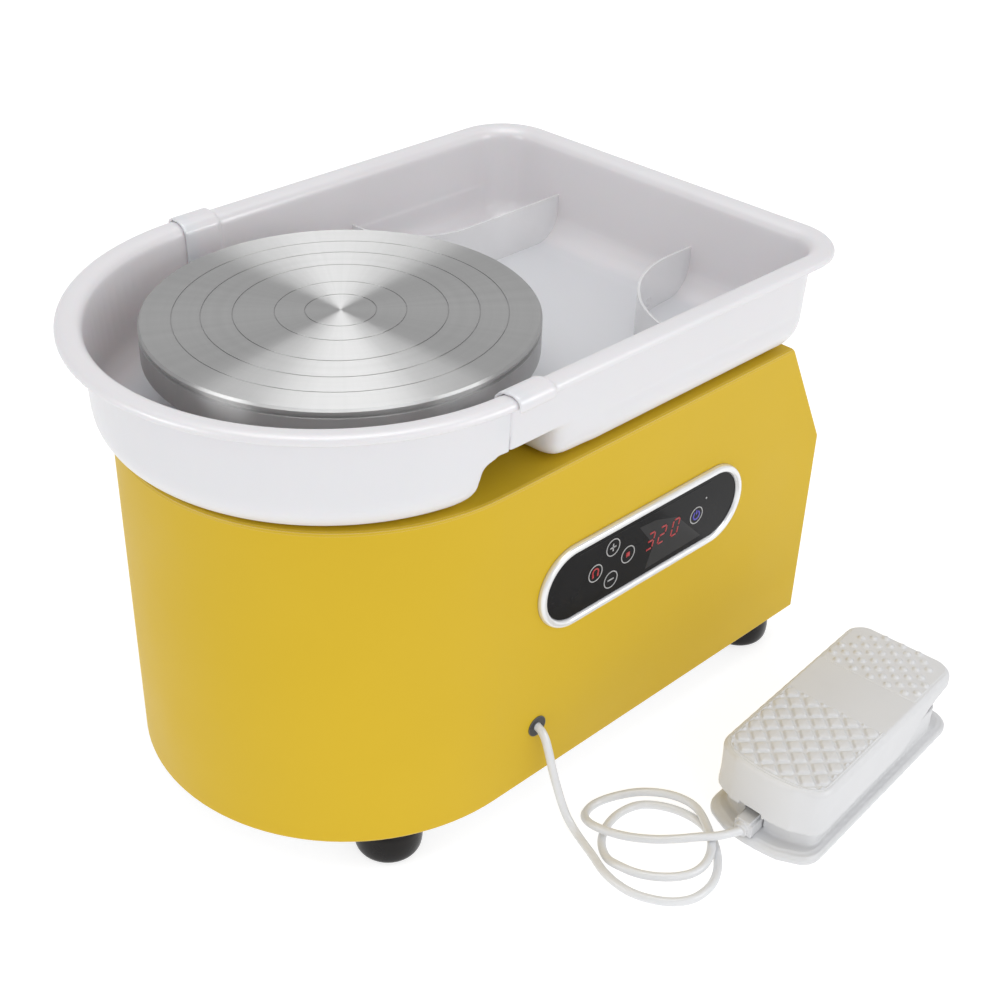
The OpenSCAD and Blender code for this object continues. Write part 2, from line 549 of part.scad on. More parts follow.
module sensor_board() color([0.1, 0.35, 0.2]) at_origin() at_pedal() {
  translate([-20, -34, 10]) cube([4, 30, 3]);
  translate([16, -34, 10]) cube([4, 30, 3]);
  translate([-22, -36, 13]) cube([44, 34, 1.6]);
  translate([-3, -21, 14.6]) cube([6, 6, 3]);
}
module pedal_screws() color([0.7, 0.7, 0.72]) at_origin() at_pedal()
  for (x = [-screw_u, screw_u], v = screw_v) translate([x, v, 0]) {
    translate([0, 0, 10]) cylinder(r = 3.4, h = 1.8, $fn = 32);
    translate([0, 0, 3]) cylinder(r = 2, h = 8, $fn = 24);
  }
module strain_relief() color([0.87, 0.87, 0.88]) at_origin() at_pedal() {
  translate([-14.5, -118, 10]) cube([15, 24, 11]);
  translate([-12.5, -118, 10]) cube([11, 24, 13.5]);
  ycyl(5.4, -122, -94, -7, 16.2);
}

module treadle_solid(g, z1) {
  slab(bow(45 - g, -112 + g, 98 - g, 8, 14 - g * 0.6), 20, z1 - 4);
  slab(bow(44.3 - g, -111.3 + g, 97.3 - g, 8, 13.6 - g * 0.6), z1 - 4, z1 - 1.6);
  slab(bow(42.8 - g, -109.8 + g, 95.8 - g, 8, 12.8 - g * 0.6), z1 - 1.6, z1);
}
module treadle() color([0.9, 0.9, 0.91]) at_origin() at_pedal() {
  difference() {
    intersection() {
      treadle_solid(0, treadle_height);
      side_prism([[-130, 28], [18, 28], [26, 30], [34, 35.5], [46, 45], [62, 51.5], [79, 55.5],
        [96, 57], [110, 57], [110, 90], [-130, 90]], 60);
    }
    translate([0, 0, -3]) treadle_solid(3, treadle_height);
    translate([-17, -120, 10]) cube([20, 16, 21.5]);
  }
  // Hinge ears and stiffening ribs under the top
  for (x = [-26, 21]) difference() {
    union() {
      translate([x, pin_v - 9, pin_z]) cube([5, 18, treadle_height - 2 - pin_z]);
      xcyl(9, x, x + 5, pin_v, pin_z, $fn = 48);
    }
    xcyl(4.06, x - 2, x + 8, pin_v, pin_z, $fn = 48);
  }
  for (v = [-30, 30, 60]) translate([-42.5, v, treadle_height - 8]) cube([85, 2, 6]);
}
module heel_grip() color([0.9, 0.9, 0.91]) at_origin() at_pedal() intersection() {
  union() for (i = [-7:7], j = [-7:7]) if ((i + j) % 2 == 0 && abs(i) <= 6 && abs(j) <= 7)
    translate([i * 6.3, -52 + j * 6.3, treadle_height]) rotate([0, 0, 45])
      translate([-3.6, -3.6, 0]) cube([7.2, 7.2, grip_height]);
  slab(bow(40.5, -106, -11, 8, 10), treadle_height, treadle_height + 5);
}
module toe_grip() color([0.9, 0.9, 0.91]) at_origin() at_pedal()
  for (r = [0:6]) for (c = [0:(r % 2 == 0 ? 7 : 6)])
    if (!(r == 6 && (c < 1 || c > 6)))
      translate([-35 + 10 * c + (r % 2 == 0 ? 0 : 5), 43 + 8 * r, treadle_height]) {
        cylinder(r = 3, h = grip_height * 0.6, $fn = 24);
        cylinder(r = 2.1, h = grip_height, $fn = 24);
      }
module treadle_magnet() color([0.3, 0.3, 0.32]) at_origin() at_pedal() {
  translate([-2, -20, 30]) cube([4, 4, treadle_height - 33]);
  translate([-3, -21, 28]) cube([6, 6, 2.5]);
}

// ---------------------------------------------------------------- pedal cord
// Point on the smooth curve through p, a share t of the way from point i to the next
function spline(p, i, t) = let (n = len(p), a = p[max(i - 1, 0)], b = p[i], c = p[min(i + 1, n - 1)],
  d = p[min(i + 2, n - 1)])
  0.5 * ((2 * b) + (c - a) * t + (2 * a - 5 * b + 4 * c - d) * t * t + (3 * b - a - 3 * c + d) * t * t * t);
rings = 74;
function cord_at(k) = let (u = k * (len(cord_route) - 1) / rings, i = min(floor(u), len(cord_route) - 2))
  spline(cord_route, i, u - i);
cord_points = [for (k = [0:rings]) cord_at(k)];
module pedal_cord() color([0.93, 0.93, 0.93]) at_origin() sweep(cord_points, cord_diameter / 2, 10);

// ---------------------------------------------------------------- show
housing_shell();
base_plate();
rear_vents();
control_bezel();
touch_panel();
display_board();
cord_grommet();
bearing_housing();
bearing_flange();
spindle_bearings();
bearing_screws();
motor_bracket();
bracket_posts();
motor_body();
motor_cap();
drive_belt();
controller_box();
power_supply();
power_inlet();
fuse_cap();
switch_frame();
rubber_feet();
foot_screws();
base_screws();
wheel_head();
hub_screw();
spindle();
driven_pulley();
motor_rotor();
motor_pulley();
switch_rocker();
front_basin();
rear_basin();
divider_far();
divider_near();
pedal_base();
pedal_pads();
hinge_pin();
torsion_spring();
sensor_board();
pedal_screws();
strain_relief();
treadle();
heel_grip();
toe_grip();
treadle_magnet();
pedal_cord();
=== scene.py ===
"""Looks of a tabletop pottery wheel with a wired foot pedal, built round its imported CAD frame."""
import json
import math

import bmesh
import bpy
import numpy as np
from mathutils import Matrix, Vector


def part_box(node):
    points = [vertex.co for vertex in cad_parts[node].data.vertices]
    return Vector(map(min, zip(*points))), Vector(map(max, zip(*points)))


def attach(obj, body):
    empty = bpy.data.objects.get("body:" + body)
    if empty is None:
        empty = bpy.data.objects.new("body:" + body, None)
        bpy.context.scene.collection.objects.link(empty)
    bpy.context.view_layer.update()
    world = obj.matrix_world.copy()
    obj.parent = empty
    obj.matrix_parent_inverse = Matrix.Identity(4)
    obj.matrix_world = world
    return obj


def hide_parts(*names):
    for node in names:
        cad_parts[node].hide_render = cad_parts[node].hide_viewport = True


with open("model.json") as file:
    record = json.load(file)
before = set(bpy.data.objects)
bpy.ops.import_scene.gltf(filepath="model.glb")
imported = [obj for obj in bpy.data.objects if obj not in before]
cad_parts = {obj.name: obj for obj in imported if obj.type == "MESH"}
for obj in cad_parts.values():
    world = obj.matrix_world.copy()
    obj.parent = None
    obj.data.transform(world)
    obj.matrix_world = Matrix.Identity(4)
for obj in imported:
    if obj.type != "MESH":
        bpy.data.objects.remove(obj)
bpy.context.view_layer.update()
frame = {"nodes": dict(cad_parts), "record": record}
bpy.context.scene.view_settings.view_transform = "Standard"

# ---------------------------------------------------------------- places, from the frame
# Points below are in millimetres from the foot of the spindle axis, or along the turned pedal.
MM = 0.001
head_low, head_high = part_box("wheel_head")
pin_low, pin_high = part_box("hinge_pin")
housing_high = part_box("housing_shell")[1]
glass_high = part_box("touch_panel")[1]
SPINDLE = Vector(((head_low.x + head_high.x) / 2, (head_low.y + head_high.y) / 2, 0))
PEDAL_TURN = math.radians(5)
PIN_V = -60
ALONG_U = Vector((math.cos(PEDAL_TURN), math.sin(PEDAL_TURN), 0))
ALONG_V = Vector((-math.sin(PEDAL_TURN), math.cos(PEDAL_TURN), 0))
PIN_MIDDLE = (pin_low + pin_high) / 2
PEDAL = Vector((PIN_MIDDLE.x, PIN_MIDDLE.y, 0)) - ALONG_V * PIN_V * MM


def at(x, y, z):
    """Point given in millimetres from the foot of the spindle axis."""
    return SPINDLE + Vector((x, y, z)) * MM


def on_pedal(u, v, z):
    """Point given in millimetres across (u), along (v) and above the floor (z) at the pedal."""
    return PEDAL + (ALONG_U * u + ALONG_V * v) * MM + Vector((0, 0, z * MM))


# ---------------------------------------------------------------- camera
# Standing point in metres and direction of view, solved from the outlines of the head, deck and panel.
CAMERA_PLACE = (0.6839, -0.6936, 0.8583)
CAMERA_WAY = (-0.6314, 0.565, -0.5311)
SENSOR_WIDTH = 36
FOCAL_LENGTH = 56.1
FRAME_SHIFT = (0.0809, -0.0318)


def make_camera():
    """Camera at the photograph's viewing angle."""
    camera = bpy.data.objects.new("camera", bpy.data.cameras.new("camera"))
    bpy.context.scene.collection.objects.link(camera)
    camera.location = CAMERA_PLACE
    camera.rotation_mode = "QUATERNION"
    camera.rotation_quaternion = Vector(CAMERA_WAY).to_track_quat("-Z", "Y")
    camera.data.sensor_width = SENSOR_WIDTH
    camera.data.lens = FOCAL_LENGTH
    camera.data.shift_x, camera.data.shift_y = FRAME_SHIFT
    bpy.context.scene.camera = camera


make_camera()


# ---------------------------------------------------------------- material helpers
# Lengths in materials are in metres, and noise scales are in cycles per metre.
# Sharp edges are painted paler: partly rubbed wear, partly a painted highlight where light would catch
# the bends.
EDGE_WEAR_AND_HIGHLIGHT_RADIUS = 0.0012
EDGE_WEAR_AND_HIGHLIGHT_PALER = 0.25
FLAT_ENOUGH, SHARP_ENOUGH = 0.995, 0.9
GRAIN_STRENGTH = 0.5
CLOUD_STRENGTH = 0.25
SCRATCH_STRETCH = (9, 160, 30)
SCRATCH_TURN = (0.4, 0.3, 0.7)


class Finish:
    """One material with short ways to add nodes round its Principled shader."""

    def __init__(self, name, roughness, metallic=0.0, **sockets):
        self.material = bpy.data.materials.new(name)
        self.material.use_nodes = True
        self.tree = self.material.node_tree
        self.shader = self.tree.nodes["Principled BSDF"]
        self.shader.inputs["Roughness"].default_value = roughness
        self.shader.inputs["Metallic"].default_value = metallic
        for socket, value in sockets.items():
            self.shader.inputs[socket.replace("_", " ")].default_value = value
        self.where = self.add("ShaderNodeTexCoord").outputs["Object"]

    def add(self, kind, inputs=(), **settings):
        """Adds a node; inputs are (socket, value or output) pairs."""
        node = self.tree.nodes.new(kind)
        for key, value in settings.items():
            setattr(node, key, value)
        for socket, value in inputs:
            if isinstance(value, bpy.types.NodeSocket):
                self.tree.links.new(value, node.inputs[socket])
            else:
                node.inputs[socket].default_value = value
        return node

    def noise(self, scale, detail=2.0, source=None, dimensions="3D"):
        slot = "W" if dimensions == "1D" else "Vector"
        node = self.add("ShaderNodeTexNoise", [(slot, source or self.where), ("Scale", scale),
                                               ("Detail", detail)], noise_dimensions=dimensions)
        return node.outputs["Fac"]

    def remap(self, source, low, high, to_low=0.0, to_high=1.0):
        node = self.add("ShaderNodeMapRange", [("Value", source), ("From Min", low), ("From Max", high),
                                               ("To Min", to_low), ("To Max", to_high)])
        return node.outputs["Result"]

    def math(self, operation, first, second=0.0):
        node = self.add("ShaderNodeMath", [(0, first), (1, second)], operation=operation)
        return node.outputs[0]

    def mix(self, factor, first, second):
        """Colour from first to second."""
        node = self.add("ShaderNodeMix", [(0, factor), (6, first), (7, second)], data_type="RGBA")
        return node.outputs[2]

    def bump(self, height, strength, distance, normal=None):
        inputs = [("Height", height), ("Strength", strength), ("Distance", distance)]
        if normal:
            inputs.append(("Normal", normal))
        return self.add("ShaderNodeBump", inputs).outputs["Normal"]

    def edges(self, radius):
        """0 on flats, 1 on sharp edges."""
        rounded = self.add("ShaderNodeBevel", [("Radius", radius)], samples=4).outputs["Normal"]
        flat = self.add("ShaderNodeNewGeometry").outputs["Normal"]
        same = self.add("ShaderNodeVectorMath", [(0, rounded), (1, flat)], operation="DOT_PRODUCT")
        return self.remap(same.outputs["Value"], FLAT_ENOUGH, SHARP_ENOUGH)

    def set(self, socket, output):
        self.tree.links.new(output, self.shader.inputs[socket])


def shade(color, factor):
    """Darker or lighter copy of a colour."""
    return tuple(min(1.0, c * factor) for c in color) + (1.0,)


def moulded(name, color, roughness, metallic=0.0, tint=0.05, patch=9.0, grain=1400.0, depth=0.00004,
            swing=0.07, scuffs=0.06, edge=0.0, **sockets):
    """Moulded, cast or painted surface: cloudy tint, uneven gloss, fine grain, faint scuffs, and with
    edge set, sharp edges painted paler as wear and as a painted highlight.
    """
    finish = Finish(name, roughness, metallic, **sockets)
    cloud = finish.noise(patch, 4.0)
    fine = finish.noise(grain, 2.0)
    base = finish.mix(finish.remap(cloud, 0.3, 0.7), shade(color, 1 - tint), shade(color, 1 + tint))
    speck = finish.remap(finish.noise(grain * 0.35, 1.0), 0.62, 0.75, 0.0, 0.5 * tint)
    base = finish.mix(speck, base, shade(color, 0.6))
    # Paler sharp edges: partly wear, partly a painted highlight standing in for light on the bends.
    if edge:
        wear_and_highlight = finish.math("MULTIPLY", finish.edges(EDGE_WEAR_AND_HIGHLIGHT_RADIUS), edge)
        paler_wear_and_highlight = tuple(c + EDGE_WEAR_AND_HIGHLIGHT_PALER * (1 - c) for c in color) + (1.0,)
        base = finish.mix(wear_and_highlight, base, paler_wear_and_highlight)
    finish.set("Base Color", base)
    stretched = finish.add("ShaderNodeMapping", [("Vector", finish.where), ("Scale", SCRATCH_STRETCH),
                                                 ("Rotation", SCRATCH_TURN)]).outputs["Vector"]
    scratch = finish.remap(finish.noise(6.0, 6.0, stretched), 0.66, 0.8, 0.0, scuffs)
    rough = finish.remap(finish.noise(patch * 2.7, 3.0), 0.3, 0.7, roughness - swing, roughness + swing)
    finish.set("Roughness", finish.math("ADD", rough, scratch))
    normal = finish.bump(fine, GRAIN_STRENGTH, depth)
    finish.set("Normal", finish.bump(cloud, CLOUD_STRENGTH, depth * 6, normal))
    return finish.material


def turned_metal(name, color, roughness, centre):
    """Faced on a lathe: fine rings round the spindle, and faint rays where the tool chattered."""
    finish = Finish(name, roughness, 1.0, Anisotropic=1.0, Anisotropic_Rotation=0.25)
    from_axis = finish.add("ShaderNodeVectorMath", [(0, finish.where), (1, centre)],
                           operation="SUBTRACT")
    parts = finish.add("ShaderNodeSeparateXYZ", [(0, from_axis.outputs[0])])
    x, y = parts.outputs[0], parts.outputs[1]
    radius = finish.math("SQRT", finish.math("ADD", finish.math("MULTIPLY", x, x),
                                             finish.math("MULTIPLY", y, y)))
    angle = finish.math("ARCTAN2", y, x)
    rings = finish.noise(2600.0, 2.0, radius, "1D")
    bands = finish.noise(170.0, 3.0, radius, "1D")
    rays = finish.noise(14.0, 6.0, angle, "1D")
    tone = finish.math("ADD", finish.math("MULTIPLY", rings, 0.5), finish.math("MULTIPLY", bands, 0.5))
    base = finish.mix(finish.remap(tone, 0.35, 0.65), shade(color, 0.97), shade(color, 1.02))
    base = finish.mix(finish.remap(rays, 0.35, 0.7, 0.0, 0.15), base, shade(color, 0.85))
    finish.set("Base Color", base)
    gloss = finish.math("ADD", finish.remap(rings, 0.3, 0.7, -0.01, 0.01),
                        finish.remap(rays, 0.3, 0.7, roughness - 0.015, roughness + 0.015))
    finish.set("Roughness", gloss)
    tangent = finish.add("ShaderNodeTangent", direction_type="RADIAL", axis="Z").outputs["Tangent"]
    finish.set("Tangent", tangent)
    finish.set("Normal", finish.bump(rings, 0.08, 0.00001))
    return finish.material


def brushed_metal(name, color, roughness, scale=(900, 40, 40)):
    """Rolled or drawn metal with fine lines one way and dull patches."""
    finish = Finish(name, roughness, 1.0)
    drawn = finish.add("ShaderNodeMapping", [("Vector", finish.where), ("Scale", scale)])
    lines = finish.noise(2.0, 4.0, drawn.outputs["Vector"])
    patch = finish.noise(22.0, 4.0)
    base = finish.mix(finish.remap(lines, 0.3, 0.7), shade(color, 0.85), shade(color, 1.08))
    base = finish.mix(finish.remap(patch, 0.5, 0.8, 0.0, 0.35), base, shade(color, 0.72))
    finish.set("Base Color", base)
    finish.set("Roughness", finish.remap(patch, 0.3, 0.7, roughness - 0.07, roughness + 0.1))
    finish.set("Normal", finish.bump(lines, 0.3, 0.00003))
    return finish.material


def milky(name, color, roughness, alpha):
    """Thin see-through plastic, cloudy and a little dusty."""
    finish = Finish(name, roughness, 0.0, Alpha=alpha, Coat_Weight=0.2)
    cloud = finish.noise(30.0, 4.0)
    finish.set("Base Color", finish.mix(cloud, shade(color, 0.95), shade(color, 1.05)))
    finish.set("Roughness", finish.remap(cloud, 0.3, 0.7, roughness - 0.08, roughness + 0.1))
    finish.set("Normal", finish.bump(finish.noise(500.0), 0.2, 0.00003))
    return finish.material


def glowing(name, color, strength):
    """Lit marks of the panel, a little uneven."""
    finish = Finish(name, 0.4, 0.0, Emission_Strength=strength)
    uneven = finish.noise(420.0, 2.0)
    finish.set("Base Color", finish.mix(uneven, shade(color, 0.6), shade(color, 0.9)))
    finish.set("Emission Color", finish.mix(uneven, shade(color, 0.75), shade(color, 1.1)))
    return finish.material


# ---------------------------------------------------------------- materials, one per slot of the record
LOOKS = {
    # edge= paints sharp edges paler, partly as wear and partly as a painted highlight; on the housing it
    # paints the light line along the deck's bend.
    "housing_paint": moulded("yellow_powder_coat", (0.63, 0.422, 0.015), 0.5, tint=0.035, patch=3.0,
                             grain=1500.0, depth=0.00005, edge=0.9, Specular_IOR_Level=0.22),
    "black_plastic": moulded("black_plastic", (0.022, 0.022, 0.024), 0.42, tint=0.2, edge=0.5),
    "bezel_silver": moulded("bezel_plastic", (0.80, 0.81, 0.83), 0.2, 0.45, tint=0.03, Coat_Weight=0.5),
    "panel_glass": moulded("smoked_glass", (0.010, 0.010, 0.011), 0.12, tint=0.3, depth=0.000004,
                           swing=0.03, scuffs=0.05, Specular_IOR_Level=0.1),
    "board_green": moulded("circuit_board", (0.02, 0.13, 0.05), 0.38, tint=0.25, patch=120.0),
    "cast_alloy": moulded("cast_alloy", (0.52, 0.53, 0.54), 0.5, 0.9, tint=0.1, patch=40.0,
                          grain=700.0, depth=0.0002),
    "head_alloy": turned_metal("turned_aluminium", (0.44, 0.44, 0.44), 0.38, tuple(SPINDLE)),
    "steel": brushed_metal("drawn_steel", (0.58, 0.59, 0.61), 0.3),
    "motor_paint": moulded("motor_enamel", (0.035, 0.036, 0.04), 0.36, tint=0.25, edge=0.4),
    "zinc_case": brushed_metal("zinc_sheet", (0.48, 0.49, 0.51), 0.42, (60, 500, 60)),
    "belt_rubber": moulded("belt_rubber", (0.018, 0.018, 0.018), 0.7, tint=0.25, depth=0.0001),
    "foot_rubber": moulded("glossy_rubber", (0.009, 0.008, 0.008), 0.3, tint=0.2, scuffs=0.1,
                           depth=0.00004, Specular_IOR_Level=0.2),
    "basin_white": moulded("basin_abs", (0.715, 0.705, 0.73), 0.38, tint=0.015, patch=5.0, grain=900.0,
                           depth=0.00003, Coat_Weight=0.12, Subsurface_Weight=0.05),
    "divider_clear": milky("milky_plastic", (0.86, 0.86, 0.87), 0.35, 0.6),
    "pedal_white": moulded("pedal_abs", (0.67, 0.675, 0.69), 0.5, tint=0.02, patch=14.0, grain=2200.0,
                           depth=0.00006),
    "cord_pvc": moulded("cord_pvc", (0.72, 0.73, 0.75), 0.42, tint=0.025, patch=30.0, grain=2600.0,
                        depth=0.00003, Coat_Weight=0.1),
}
# Lighter glass that paints a reflection and a highlight line on the panel glass.
PAINTED_REFLECTION_GLASS = moulded("painted_reflection_glass", (0.036, 0.036, 0.037), 0.14, tint=0.15, depth=0.000004, swing=0.03,
                     scuffs=0.05, Specular_IOR_Level=0.1)
MARK_WHITE = glowing("mark_white", (0.5, 0.5, 0.5), 0.1)
MARK_RED = glowing("mark_red", (0.42, 0.004, 0.01), 0.22)
MARK_BLUE = glowing("mark_blue", (0.07, 0.055, 0.42), 0.4)

SLOT_OF = {part["node"]: part["material_slot"] for part in frame["record"]["subparts"]}
for node, thing in frame["nodes"].items():
    thing.data.materials.clear()
    thing.data.materials.append(LOOKS[SLOT_OF[node]])


# ---------------------------------------------------------------- mesh helpers
EVENING_PULLS = (0.55, -0.58)
SOFTENING_PULL = 0.6
SAME_POINT = 0.000001
SAME_CAD_POINT = 0.000002


def add_piece(name, mesh, body, slot, material=None, stands_for=()):
    """Links a mesh as a piece that rides on a body and replaces CAD nodes."""
    for face in mesh.polygons:
        face.use_smooth = True
    mesh.materials.clear()
    mesh.materials.append(material or LOOKS[slot])
    piece = bpy.data.objects.new(name, mesh)
    bpy.context.scene.collection.objects.link(piece)
    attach(piece, body)
    if stands_for:
        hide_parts(*stands_for)
    return piece


def build_mesh(name, points, faces):
    """Mesh with its double points joined and its faces all turned outward."""
    mesh = bpy.data.meshes.new(name)
    mesh.from_pydata([tuple(p) for p in points], [], faces)
    tidy = bmesh.new()
    tidy.from_mesh(mesh)
    bmesh.ops.remove_doubles(tidy, verts=tidy.verts, dist=SAME_POINT)
    bmesh.ops.recalc_face_normals(tidy, faces=tidy.faces)
    tidy.to_mesh(mesh)
    tidy.free()
    return mesh


def spline(points, steps, closed=False):
    """Points along a smooth curve through the given points."""
    points = [np.array(p, float) for p in points]
    count = len(points)
    spans = count if closed else count - 1
    pick = (lambda i: points[i % count]) if closed else (lambda i: points[min(max(i, 0), count - 1)])
    line = []
    for i in range(spans):
        a, b, c, d = (pick(i + k) for k in (-1, 0, 1, 2))
        for j in range(steps):
            t = j / steps
            line.append(0.5 * (2 * b + (c - a) * t + (2 * a - 5 * b + 4 * c - d) * t * t
                               + (3 * b - a - 3 * c + d) * t ** 3))
    if not closed:
        line.append(points[-1])
    return line


def neighbour_mean(corner, pairs, degree):
    """Mean position of each point's neighbours."""
    total = np.empty_like(corner)
    for axis in range(3):
        total[:, axis] = (np.bincount(pairs[:, 0], corner[pairs[:, 1], axis], len(corner))
                          + np.bincount(pairs[:, 1], corner[pairs[:, 0], axis], len(corner)))
    return total / degree[:, None]


def relax(mesh, rounds, soften=None, soften_rounds=0):
    """Evens a dense mesh without shrinking it; soften(points) gives where edges are rounded further."""
    corner = np.empty(len(mesh.vertices) * 3)
    mesh.vertices.foreach_get("co", corner)
    corner = corner.reshape(-1, 3)
    pairs = np.empty(len(mesh.edges) * 2, int)
    mesh.edges.foreach_get("vertices", pairs)
    pairs = pairs.reshape(-1, 2)
    degree = np.bincount(pairs.ravel(), minlength=len(corner)).astype(float)
    for _ in range(rounds):
        for pull in EVENING_PULLS:
            corner = corner + pull * (neighbour_mean(corner, pairs, degree) - corner)
    if soften:
        share = soften(corner)[:, None]
        for _ in range(soften_rounds):
            corner = corner + SOFTENING_PULL * share * (neighbour_mean(corner, pairs, degree) - corner)
    mesh.vertices.foreach_set("co", corner.ravel())
    mesh.update()


def skin(name, nodes, body, voxel, rounds, soften=None, soften_rounds=0):
    """Even, soft-edged moulding over CAD nodes, which it replaces."""
    joined = bmesh.new()
    for node in nodes:
        joined.from_mesh(frame["nodes"][node].data)
    bmesh.ops.remove_doubles(joined, verts=joined.verts, dist=SAME_CAD_POINT)
    source = bpy.data.meshes.new(name + "_source")
    joined.to_mesh(source)
    joined.free()
    helper = bpy.data.objects.new(name + "_helper", source)
    bpy.context.scene.collection.objects.link(helper)
    remesh = helper.modifiers.new("even", "REMESH")
    remesh.mode = "VOXEL"
    remesh.voxel_size = voxel
    seen = helper.evaluated_get(bpy.context.evaluated_depsgraph_get())
    mesh = bpy.data.meshes.new_from_object(seen)
    bpy.data.objects.remove(helper)
    relax(mesh, rounds, soften, soften_rounds)
    return add_piece(name, mesh, body, SLOT_OF[nodes[0]], stands_for=nodes)


def smooth_step(value, low, high):
    """Eases from 0 at low to 1 at high, which may be the smaller of the two."""
    t = np.clip((value - low) / (high - low), 0, 1)
    return t * t * (3 - 2 * t)


# ---------------------------------------------------------------- pedal cord
CORD_DIAMETER = 0.0065
CORD_STEPS = 6
# Out of the grommet, down the wall, twice round on the floor and up into the pedal's boot.
CORD_ROUTE = [
    (150, 42.7, 80.2), (165, 42.7, 80.2), (173, 42.5, 76), (178.5, 42, 66), (184, 42, 50),
    (191, 43, 30), (199, 43.5, 14), (211, 42.5, 5), (232, 36.5, 3.4), (254, 29.5, 3.4),
    (277, 30, 3.4), (298, 41, 3.4), (310, 57, 3.4), (311.5, 76, 3.4), (305, 93, 3.4),
    (292, 108, 3.4), (275, 119, 3.4), (257, 121, 3.4), (238, 115, 3.4), (223, 102, 3.4),
    (218, 84, 3.4), (221, 65, 3.4), (230, 50, 3.6), (243, 41, 5), (257, 38, 9.5),
    (273, 43, 10), (288, 55, 10), (298, 71, 10.2), (298, 88, 10.2), (289, 105, 10.2),
    (273, 118, 10.2), (255, 126, 10.2), (236, 122, 10.2), (218, 109, 9), (205, 93, 5.5),
    (199, 76, 4), (202, 62, 5), (212, 54, 9.5), (226, 54, 12), (243, 61, 13),
    (259, 72, 14.5), (272, 84, 16.5), (282, 97, 17.2), (291, 110, 16.6), (297.7, 125.9, 16),
    (298.6, 132, 16)]


def make_cord():
    """The pedal's cord as one strand along its route."""
    line = spline([at(*p) for p in CORD_ROUTE], CORD_STEPS)
    curve = bpy.data.curves.new("pedal_cord_line", "CURVE")
    curve.dimensions = "3D"
    curve.bevel_depth = CORD_DIAMETER / 2
    curve.bevel_resolution = 7
    curve.use_fill_caps = True
    strand = curve.splines.new("POLY")
    strand.points.add(len(line) - 1)
    for point, place in zip(strand.points, line):
        point.co = (*place, 1)
    strand.use_smooth = True
    curve.materials.append(LOOKS["cord_pvc"])
    cord = bpy.data.objects.new("cord_strand", curve)
    bpy.context.scene.collection.objects.link(cord)
    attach(cord, "machine")
    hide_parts("pedal_cord")


make_cord()


# ---------------------------------------------------------------- splash basin
def from_spindle(points):
    """Distance to either side of the spindle axis, and y and z, in millimetres."""
    return (np.abs(points[:, 0] - SPINDLE.x) / MM, (points[:, 1] - SPINDLE.y) / MM, points[:, 2] / MM)


def near_front_corner(points):
    """1 at the two upright corners where the front half's tray ends."""
    x, y, z = from_spindle(points)
    return (smooth_step(x, 145, 160) * smooth_step(y, -42, -30) * smooth_step(y, 0, -10)
            * smooth_step(z, 339, 332))


def near_tray_corner(points):
    """1 at the two upright corners where the rear half's tray drops behind the wheel head."""
    x, y, z = from_spindle(points)
    return smooth_step(x, 112, 134) * smooth_step(y, 92, 72) * smooth_step(z, 341, 334)


skin("front_half_basin", ["front_basin"], "front_half", voxel=0.0015, rounds=4,
     soften=near_front_corner, soften_rounds=60)
skin("rear_half_basin", ["rear_basin"], "rear_half", voxel=0.0016, rounds=4,
     soften=near_tray_corner, soften_rounds=110)


# ---------------------------------------------------------------- rubber feet
# Half section (radius, height): a dished sole, a round bulge and a neck up to the bottom plate.
FOOT_HEIGHT = 32
FOOT_SIDE = [(0, 0.6), (13, 0.6), (18, 0), (22.2, 1.4), (24.6, 4.5), (25.6, 9), (25.8, 14.5),
             (25.4, 20), (24.6, 25), (22.5, 27.6), (18, 28.6), (16.6, 29.5), (16.6, FOOT_HEIGHT),
             (0, FOOT_HEIGHT)]
# Middles (x, y) of the four feet.
FEET = [(-120.54, -65.66), (120.54, -65.66), (-133.28, 331.24), (133.28, 331.24)]


def lathe(side, middle, turns=64):
    """Points and faces of a profile (radius, height) turned about a vertical axis."""
    points = [at(middle[0] + r * math.cos(a), middle[1] + r * math.sin(a), z)
              for r, z in side for a in (2 * math.pi * k / turns for k in range(turns))]
    faces = [(i * turns + k, i * turns + (k + 1) % turns, (i + 1) * turns + (k + 1) % turns,
              (i + 1) * turns + k) for i in range(len(side) - 1) for k in range(turns)]
    return points, faces


def make_feet():
    """Four turned feet in one piece."""
    side = spline(FOOT_SIDE, 4)
    side = [(max(r, 0), min(max(z, 0), FOOT_HEIGHT)) for r, z in side]
    points, faces = [], []
    for middle in FEET:
        more, sides = lathe(side, middle)
        faces += [tuple(len(points) + i for i in face) for face in sides]
        points += more
    add_piece("feet", build_mesh("feet", points, faces), "machine", "foot_rubber",
              stands_for=["rubber_feet"])


make_feet()


# ---------------------------------------------------------------- control panel
# Outer faces of the wall and the glass (x), and the panel's own lines (y along the wall, z up).
WALL_X = (housing_high.x - SPINDLE.x) / MM
GLASS_X = (glass_high.x - SPINDLE.x) / MM
PANEL_Z = 197
PANEL_ENDS = (71.5, 226)
BEZEL_MIDDLE = 31.2
BEZEL_HALF = 3.2
BEZEL_PROUD = 4.8
BEZEL_STEPS = 20
END_STEPS = 32


def stadium(steps):
    """Centre (y, z) and outward direction round the panel's two half-circle ends."""
    line = []
    for end, start in ((PANEL_ENDS[1], -90), (PANEL_ENDS[0], 90)):
        for k in range(steps + 1):
            a = math.radians(start + 180 * k / steps)
            line.append(((end, PANEL_Z), (math.cos(a), math.sin(a))))
    return line


